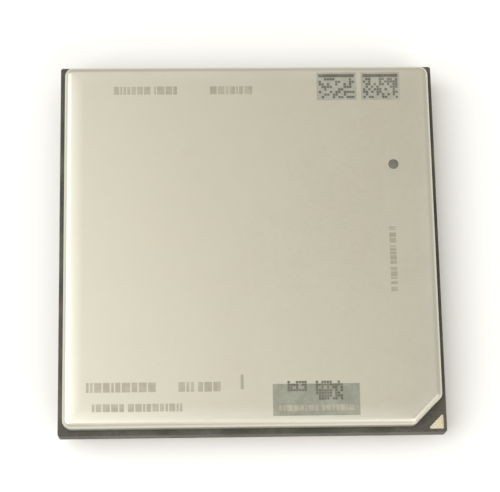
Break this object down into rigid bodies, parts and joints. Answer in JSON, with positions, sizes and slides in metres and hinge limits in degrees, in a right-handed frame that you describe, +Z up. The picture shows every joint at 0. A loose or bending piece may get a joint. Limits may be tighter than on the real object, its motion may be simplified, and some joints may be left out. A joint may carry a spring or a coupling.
{
  "type": "processor package",
  "caption": "Square lidded ceramic pin-grid processor package with a plated metal heat-spreader lid and one index corner.",
  "frame": {"origin": "centre of the package in the plane of the pin tips", "axes": "+Z up out of the lid; the index corner, where the lid is cut away and the corner pin is left out, is at +X, -Y"},
  "size_m": [0.04, 0.04, 0.0061],
  "materials": {
    "plated_lid": "satin nickel plate over copper",
    "package_ceramic": "matt dark brown fired ceramic",
    "gold_pin": "gold plated",
    "gold_plating": "thin gold plate",
    "braze_alloy": "gold plated braze",
    "tungsten": "fired metal",
    "solder": "bright",
    "tinned_terminal": "matt tin",
    "capacitor_ceramic": "matt tan",
    "silicon": "polished",
    "underfill_resin": "glossy cured resin",
    "thermal_compound": "grey compound",
    "seal_silicone": "matt grey silicone"
  },
  "bodies": {
    "root": {"capacitor_bodies": "capacitor_ceramic", "capacitor_lands": "gold_plating", "capacitor_solder": "solder", "capacitor_terminals": "tinned_terminal", "ceramic_bottom_layer": "package_ceramic", "ceramic_core_layer": "package_ceramic", "ceramic_top_layer": "package_ceramic", "ground_plane": "tungsten", "heat_spreader_lid": "plated_lid", "index_triangle_bottom": "gold_plating", "index_triangle_top": "gold_plating", "lid_seal": "seal_silicone", "pin_brazes": "braze_alloy", "pin_pads": "gold_plating", "pins_column_1": "gold_pin", "pins_column_31": "gold_pin", "pins_row_a": "gold_pin", "pins_row_aa": "gold_pin", "pins_row_ab": "gold_pin", "pins_row_ac": "gold_pin", "pins_row_ad": "gold_pin", "pins_row_ae": "gold_pin", "pins_row_af": "gold_pin", "pins_row_ag": "gold_pin", "pins_row_ah": "gold_pin", "pins_row_aj": "gold_pin", "pins_row_ak": "gold_pin", "pins_row_al": "gold_pin", "pins_row_b": "gold_pin", "pins_row_c": "gold_pin", "pins_row_d": "gold_pin", "pins_row_e": "gold_pin", "pins_row_f": "gold_pin", "pins_row_g": "gold_pin", "pins_row_h": "gold_pin", "pins_row_j": "gold_pin", "pins_row_k": "gold_pin", "pins_row_l": "gold_pin", "pins_row_m": "gold_pin", "pins_row_n": "gold_pin", "pins_row_p": "gold_pin", "pins_row_r": "gold_pin", "pins_row_t": "gold_pin", "pins_row_u": "gold_pin", "pins_row_v": "gold_pin", "pins_row_w": "gold_pin", "pins_row_y": "gold_pin", "power_plane": "tungsten", "silicon_die": "silicon", "solder_bumps": "solder", "thermal_interface": "thermal_compound", "underfill": "underfill_resin"}
  },
  "joints": []
}
